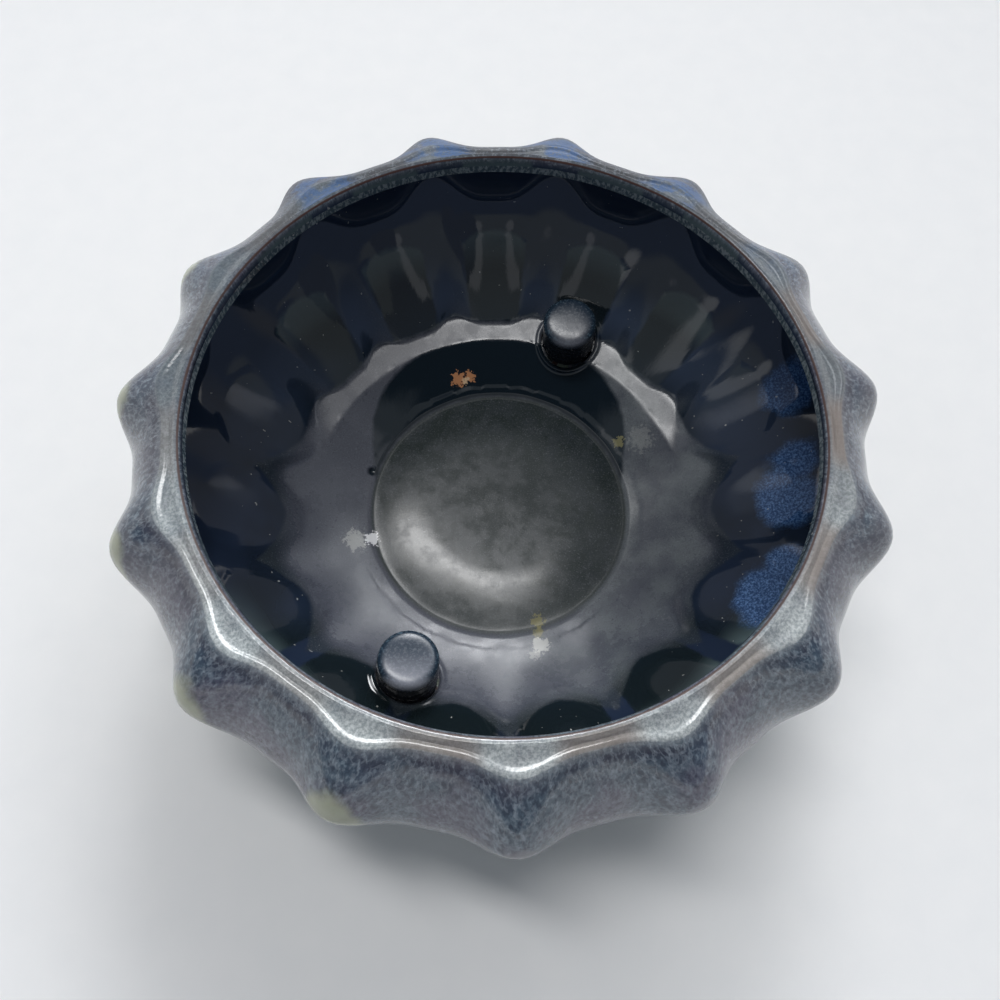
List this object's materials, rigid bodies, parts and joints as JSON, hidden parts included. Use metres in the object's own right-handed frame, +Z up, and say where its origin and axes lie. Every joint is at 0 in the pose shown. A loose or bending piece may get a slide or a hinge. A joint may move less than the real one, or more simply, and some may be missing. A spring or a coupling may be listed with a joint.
{
  "type": "shallow planter",
  "caption": "Shallow round planter: a scalloped, ribbed bowl with an inturned shoulder, dished floor and ring foot, glazed inside and out, with lift-out drain plugs.",
  "frame": {"origin": "middle of the foot ring's underside, on the bowl's own axis", "axes": "+Z up along the bowl's axis, -Y towards the viewer of the picture, +X to the viewer's right"},
  "size_m": [0.2983, 0.2974, 0.111],
  "materials": {
    "bowl_glaze": "glossy mottled blue-grey glaze over red-brown stoneware, near black inside",
    "plug_glaze": "glossy blue-black glaze with a teal edge",
    "seal_rubber": "matte black rubber"
  },
  "bodies": {
    "bowl": {"planter_bowl": "bowl_glaze"},
    "front_plug": {"drain_plug_front": "plug_glaze", "plug_seal_front": "seal_rubber"},
    "rear_plug": {"drain_plug_rear": "plug_glaze", "plug_seal_rear": "seal_rubber"}
  },
  "joints": [
    {"name": "front_plug_lift", "type": "slide", "parent": "bowl", "child": "front_plug", "axis": [0.0806, 0.1729, 0.9816], "range_m": [0, 0.12]},
    {"name": "rear_plug_lift", "type": "slide", "parent": "bowl", "child": "rear_plug", "axis": [-0.0715, -0.1769, 0.9816], "range_m": [0, 0.12]}
  ]
}
